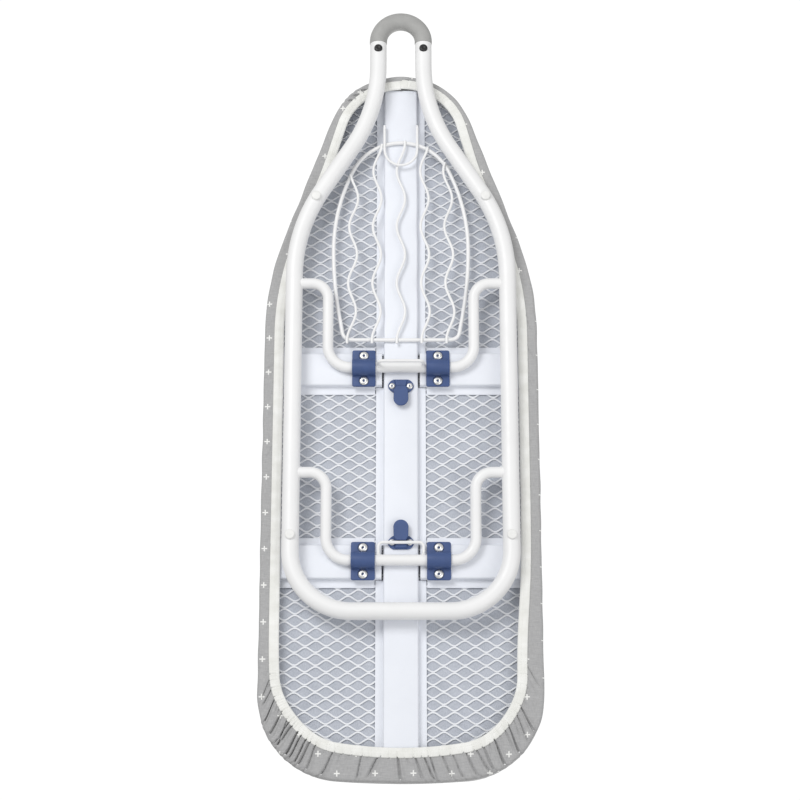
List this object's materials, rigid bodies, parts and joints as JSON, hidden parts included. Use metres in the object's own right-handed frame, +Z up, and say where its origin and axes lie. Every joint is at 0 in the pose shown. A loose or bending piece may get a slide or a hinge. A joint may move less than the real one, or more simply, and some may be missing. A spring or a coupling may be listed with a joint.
{
  "type": "table-top ironing board",
  "caption": "Padded board on a bent-tube base with a hanging hook; legs fold flat and latch, and a wire iron rest stows underneath.",
  "frame": {"origin": "on the table, under the middle of the folded board and its hook", "axes": "+X across the board, +Y towards the nose and the hanging hook, +Z up with the ironing side up"},
  "size_m": [0.304, 0.883, 0.0452],
  "materials": {
    "white_steel": "satin powder coat",
    "deck_steel": "satin powder coat",
    "blue_plastic": "moulded, fine satin",
    "grip_grey": "moulded, matte",
    "plug_black": "satin",
    "feet_white": "satin",
    "rivet_steel": "bright",
    "cloth": "woven cotton",
    "hem_tape": "gathered woven tape",
    "elastic": "matte",
    "foam": "felted foam",
    "rest_wire": "satin powder coat"
  },
  "bodies": {
    "base": {"base_arm_left": "white_steel", "base_arm_right": "white_steel", "base_side_left": "white_steel", "base_side_right": "white_steel", "base_corner_left": "white_steel", "base_corner_right": "white_steel", "base_tail_bar": "white_steel", "hook_grip": "grip_grey", "grip_plugs": "plug_black", "base_feet": "feet_white"},
    "front_leg": {"front_leg_tube": "white_steel", "front_leg_bail": "white_steel"},
    "rear_leg": {"rear_leg_tube": "white_steel", "rear_leg_bail": "white_steel"},
    "front_tongue": {"front_latch_tongue": "blue_plastic"},
    "rear_tongue": {"rear_latch_tongue": "blue_plastic"},
    "iron_rest": {"rest_frame": "rest_wire", "rest_wavy_wires": "rest_wire", "rest_hook_wire": "rest_wire"},
    "board": {"front_clip_left": "blue_plastic", "front_clip_right": "blue_plastic", "rear_clip_left": "blue_plastic", "rear_clip_right": "blue_plastic", "front_clip_rivets": "rivet_steel", "rear_clip_rivets": "rivet_steel", "front_latch_base": "blue_plastic", "rear_latch_base": "blue_plastic", "latch_rivets": "rivet_steel", "spine": "white_steel", "front_brace_left": "white_steel", "front_brace_right": "white_steel", "rear_brace_left": "white_steel", "rear_brace_right": "white_steel", "deck_mesh": "deck_steel", "deck_rim": "white_steel", "foam_pad": "foam", "cover": "cloth", "hem_binding": "hem_tape", "hem_elastic": "elastic"}
  },
  "joints": [
    {"name": "front_leg_fold", "type": "hinge", "parent": "base", "child": "front_leg", "pos_m": [0, 0.1075, 0.012], "axis": [-1, 0, 0], "range_deg": [0, 93]},
    {"name": "board_level", "type": "hinge", "parent": "front_leg", "child": "board", "pos_m": [0, 0.0125, 0.022], "axis": [1, 0, 0], "range_deg": [0, 93]},
    {"name": "rear_leg_fold", "type": "hinge", "parent": "base", "child": "rear_leg", "pos_m": [0, -0.1105, 0.012], "axis": [-1, 0, 0], "range_deg": [0, 93]},
    {"name": "front_latch_press", "type": "hinge", "parent": "board", "child": "front_tongue", "pos_m": [0, -0.0108, 0.0258], "axis": [-1, 0, 0], "range_deg": [0, 8], "stiffness_Nm_per_rad": 0.3},
    {"name": "rear_latch_press", "type": "hinge", "parent": "board", "child": "rear_tongue", "pos_m": [0, -0.1822, 0.0258], "axis": [1, 0, 0], "range_deg": [0, 8], "stiffness_Nm_per_rad": 0.3},
    {"name": "iron_rest_lift_off", "type": "slide", "parent": "board", "child": "iron_rest", "axis": [0, 0, -1], "range_m": [0, 0.05]}
  ],
  "couplings": [
    {"joint": "board_level", "follows": "front_leg_fold", "ratio": 1},
    {"joint": "rear_leg_fold", "follows": "front_leg_fold", "ratio": 1}
  ]
}
